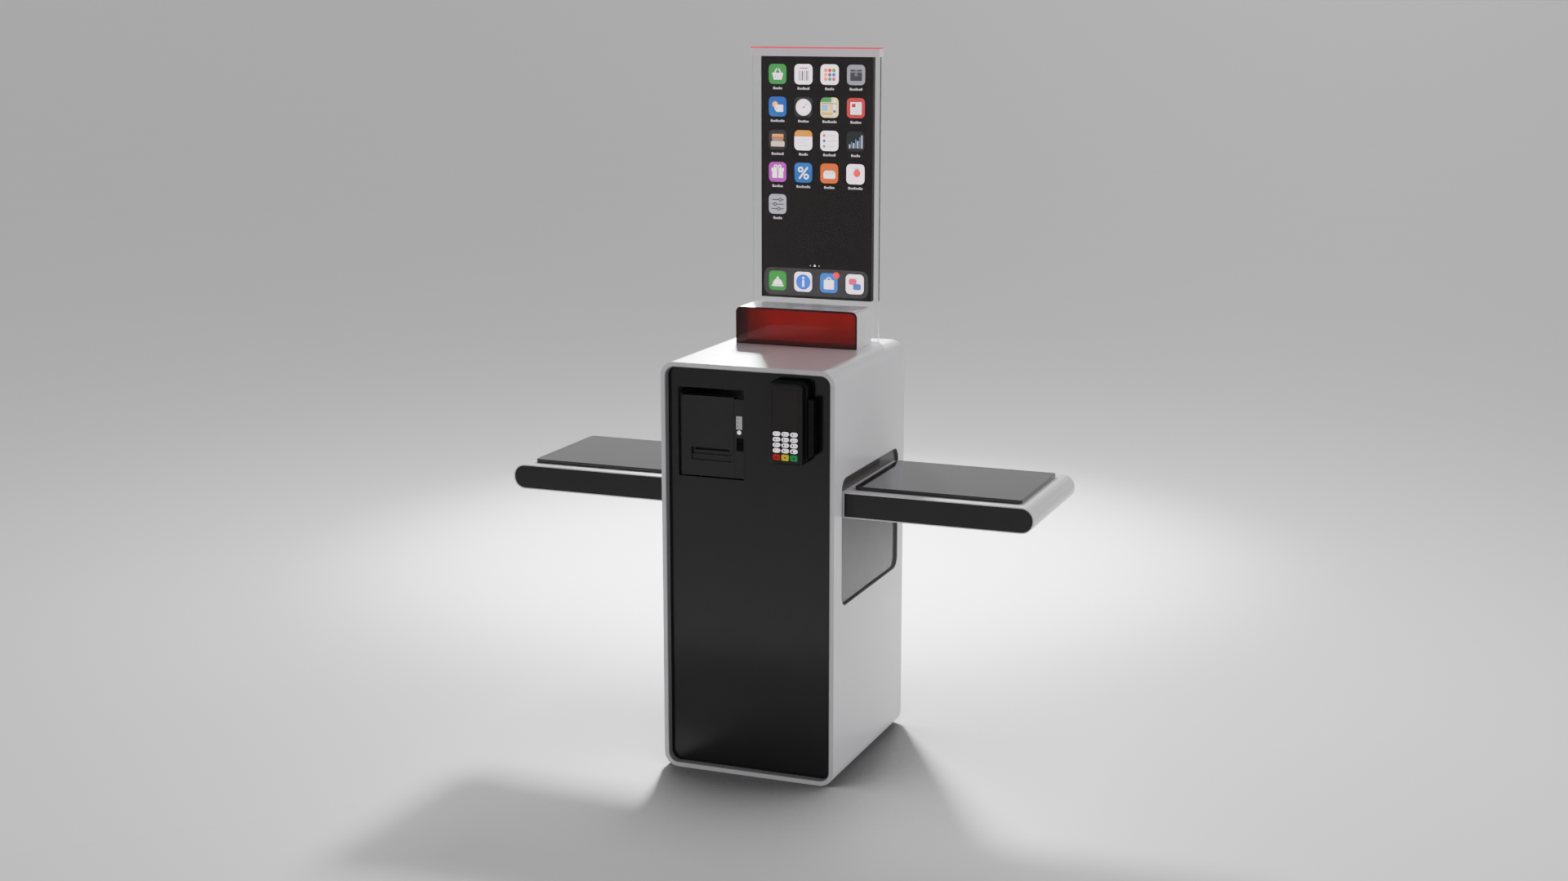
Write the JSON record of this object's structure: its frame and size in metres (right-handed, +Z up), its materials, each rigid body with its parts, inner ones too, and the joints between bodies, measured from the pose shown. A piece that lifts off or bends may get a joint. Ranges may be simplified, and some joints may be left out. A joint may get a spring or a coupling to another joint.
{
  "type": "self checkout kiosk",
  "caption": "Free-standing self checkout kiosk with weighing shelves, scanner, tall touch screen on a glass blade, receipt printer and card terminal.",
  "frame": {"origin": "middle of the pedestal's underside, on the floor", "axes": "+X to the object's right seen from the front, front faces -Y, +Z up"},
  "size_m": [1.2605, 0.5076, 1.6325],
  "materials": {
    "white_shell": "gloss white powder coat under clear lacquer",
    "dark_trim": "satin dark grey",
    "grey_trim": "satin mid grey",
    "black_gloss": "high gloss black",
    "smoked_glass": "mirror gloss smoked",
    "black_plastic": "fine-grained black",
    "steel": "dark zinc-plated and painted steel",
    "bright_steel": "brushed",
    "grey_steel": "light grey powder coat",
    "red_glass": "deep red tint",
    "clear_glass": "clear, polished edges",
    "display_face": "lit touch screen behind glass",
    "red_light": "lit red strip",
    "led_panel": "red light panel",
    "rubber": "smooth",
    "paper": "thermal paper",
    "white_key": "satin white",
    "red_key": "satin red",
    "yellow_key": "satin yellow",
    "green_key": "satin green",
    "terminal_screen": "dark screen behind a clear window"
  },
  "bodies": {
    "kiosk": {"base_plate": "steel", "cable_duct": "clear_glass", "connection_plate": "steel", "connector_sockets": "black_plastic", "display_glass": "clear_glass", "display_panel": "display_face", "display_rear_cover": "black_plastic", "door_hinges": "bright_steel", "equipment_trays": "grey_steel", "fasteners": "bright_steel", "front_panel": "black_gloss", "glass_clamp": "bright_steel", "inner_frame": "steel", "left_shelf_shell": "white_shell", "mini_pc": "grey_steel", "outer_shell": "white_shell", "power_supply": "grey_steel", "printer_body": "black_plastic", "right_shelf_shell": "white_shell", "scale_supports": "steel", "scan_engine": "black_plastic", "scanner_housing": "white_shell", "scanner_light": "led_panel", "scanner_liner": "black_plastic", "scanner_window": "red_glass", "shelf_beams": "steel", "shelf_fascias": "black_gloss", "status_light": "red_light", "terminal_bracket": "black_plastic", "terminal_front_shell": "black_plastic", "terminal_rear_shell": "black_plastic", "terminal_screen": "terminal_screen", "top_cap": "white_shell", "trim_frames": "grey_trim", "window_panels": "smoked_glass", "window_trims": "dark_trim"},
    "rear_door": {"rear_door": "black_gloss"},
    "door_lock": {"door_lock": "bright_steel"},
    "right_plate": {"right_scale_plate": "smoked_glass"},
    "left_plate": {"left_scale_plate": "smoked_glass"},
    "printer_cover": {"printer_cover": "black_plastic"},
    "paper_roll": {"paper_roll": "paper"},
    "platen_roller": {"platen_roller": "rubber"},
    "feed_button": {"feed_button": "white_key"},
    "cover_release": {"cover_release": "black_plastic"},
    "key_1": {"key_1": "white_key"},
    "key_2": {"key_2": "white_key"},
    "key_3": {"key_3": "white_key"},
    "key_4": {"key_4": "white_key"},
    "key_5": {"key_5": "white_key"},
    "key_6": {"key_6": "white_key"},
    "key_7": {"key_7": "white_key"},
    "key_8": {"key_8": "white_key"},
    "key_9": {"key_9": "white_key"},
    "key_star": {"key_star": "white_key"},
    "key_0": {"key_0": "white_key"},
    "key_hash": {"key_hash": "white_key"},
    "key_cancel": {"key_cancel": "red_key"},
    "key_clear": {"key_clear": "yellow_key"},
    "key_enter": {"key_enter": "green_key"}
  },
  "joints": [
    {"name": "rear_door_hinge", "type": "hinge", "parent": "kiosk", "child": "rear_door", "pos_m": [-0.1902, 0.2261, 0.5], "axis": [0, 0, 1], "range_deg": [0, 95]},
    {"name": "door_lock_turn", "type": "hinge", "parent": "rear_door", "child": "door_lock", "pos_m": [0.1534, 0.2225, 0.56], "axis": [0, -1, 0], "range_deg": [0, 90]},
    {"name": "right_plate_lift", "type": "slide", "parent": "kiosk", "child": "right_plate", "axis": [0, 0, 1], "range_m": [0, 0.03]},
    {"name": "left_plate_lift", "type": "slide", "parent": "kiosk", "child": "left_plate", "axis": [0, 0, 1], "range_m": [0, 0.03]},
    {"name": "printer_cover_hinge", "type": "hinge", "parent": "kiosk", "child": "printer_cover", "pos_m": [-0.104, -0.2045, 0.8645], "axis": [-1, 0, 0], "range_deg": [0, 80]},
    {"name": "paper_roll_spin", "type": "hinge", "parent": "kiosk", "child": "paper_roll", "pos_m": [-0.0938, -0.1675, 0.8195], "axis": [1, 0, 0], "continuous": true},
    {"name": "platen_spin", "type": "hinge", "parent": "printer_cover", "child": "platen_roller", "pos_m": [-0.0938, -0.2005, 0.75], "axis": [1, 0, 0], "continuous": true},
    {"name": "feed_press", "type": "slide", "parent": "kiosk", "child": "feed_button", "axis": [0, 1, 0], "range_m": [0, 0.001], "stiffness_N_per_m": 300, "springref_m": -0.002},
    {"name": "release_press", "type": "slide", "parent": "kiosk", "child": "cover_release", "axis": [0, 1, 0], "range_m": [0, 0.002], "stiffness_N_per_m": 400, "springref_m": -0.002},
    {"name": "key_1_press", "type": "slide", "parent": "kiosk", "child": "key_1", "axis": [0, 1, 0], "range_m": [0, 0.0012], "stiffness_N_per_m": 250, "springref_m": -0.002},
    {"name": "key_2_press", "type": "slide", "parent": "kiosk", "child": "key_2", "axis": [0, 1, 0], "range_m": [0, 0.0012], "stiffness_N_per_m": 250, "springref_m": -0.002},
    {"name": "key_3_press", "type": "slide", "parent": "kiosk", "child": "key_3", "axis": [0, 1, 0], "range_m": [0, 0.0012], "stiffness_N_per_m": 250, "springref_m": -0.002},
    {"name": "key_4_press", "type": "slide", "parent": "kiosk", "child": "key_4", "axis": [0, 1, 0], "range_m": [0, 0.0012], "stiffness_N_per_m": 250, "springref_m": -0.002},
    {"name": "key_5_press", "type": "slide", "parent": "kiosk", "child": "key_5", "axis": [0, 1, 0], "range_m": [0, 0.0012], "stiffness_N_per_m": 250, "springref_m": -0.002},
    {"name": "key_6_press", "type": "slide", "parent": "kiosk", "child": "key_6", "axis": [0, 1, 0], "range_m": [0, 0.0012], "stiffness_N_per_m": 250, "springref_m": -0.002},
    {"name": "key_7_press", "type": "slide", "parent": "kiosk", "child": "key_7", "axis": [0, 1, 0], "range_m": [0, 0.0012], "stiffness_N_per_m": 250, "springref_m": -0.002},
    {"name": "key_8_press", "type": "slide", "parent": "kiosk", "child": "key_8", "axis": [0, 1, 0], "range_m": [0, 0.0012], "stiffness_N_per_m": 250, "springref_m": -0.002},
    {"name": "key_9_press", "type": "slide", "parent": "kiosk", "child": "key_9", "axis": [0, 1, 0], "range_m": [0, 0.0012], "stiffness_N_per_m": 250, "springref_m": -0.002},
    {"name": "key_star_press", "type": "slide", "parent": "kiosk", "child": "key_star", "axis": [0, 1, 0], "range_m": [0, 0.0012], "stiffness_N_per_m": 250, "springref_m": -0.002},
    {"name": "key_0_press", "type": "slide", "parent": "kiosk", "child": "key_0", "axis": [0, 1, 0], "range_m": [0, 0.0012], "stiffness_N_per_m": 250, "springref_m": -0.002},
    {"name": "key_hash_press", "type": "slide", "parent": "kiosk", "child": "key_hash", "axis": [0, 1, 0], "range_m": [0, 0.0012], "stiffness_N_per_m": 250, "springref_m": -0.002},
    {"name": "key_cancel_press", "type": "slide", "parent": "kiosk", "child": "key_cancel", "axis": [0, 1, 0], "range_m": [0, 0.0012], "stiffness_N_per_m": 250, "springref_m": -0.002},
    {"name": "key_clear_press", "type": "slide", "parent": "kiosk", "child": "key_clear", "axis": [0, 1, 0], "range_m": [0, 0.0012], "stiffness_N_per_m": 250, "springref_m": -0.002},
    {"name": "key_enter_press", "type": "slide", "parent": "kiosk", "child": "key_enter", "axis": [0, 1, 0], "range_m": [0, 0.0012], "stiffness_N_per_m": 250, "springref_m": -0.002}
  ],
  "couplings": [
    {"joint": "platen_spin", "follows": "paper_roll_spin", "ratio": 5.3333}
  ]
}
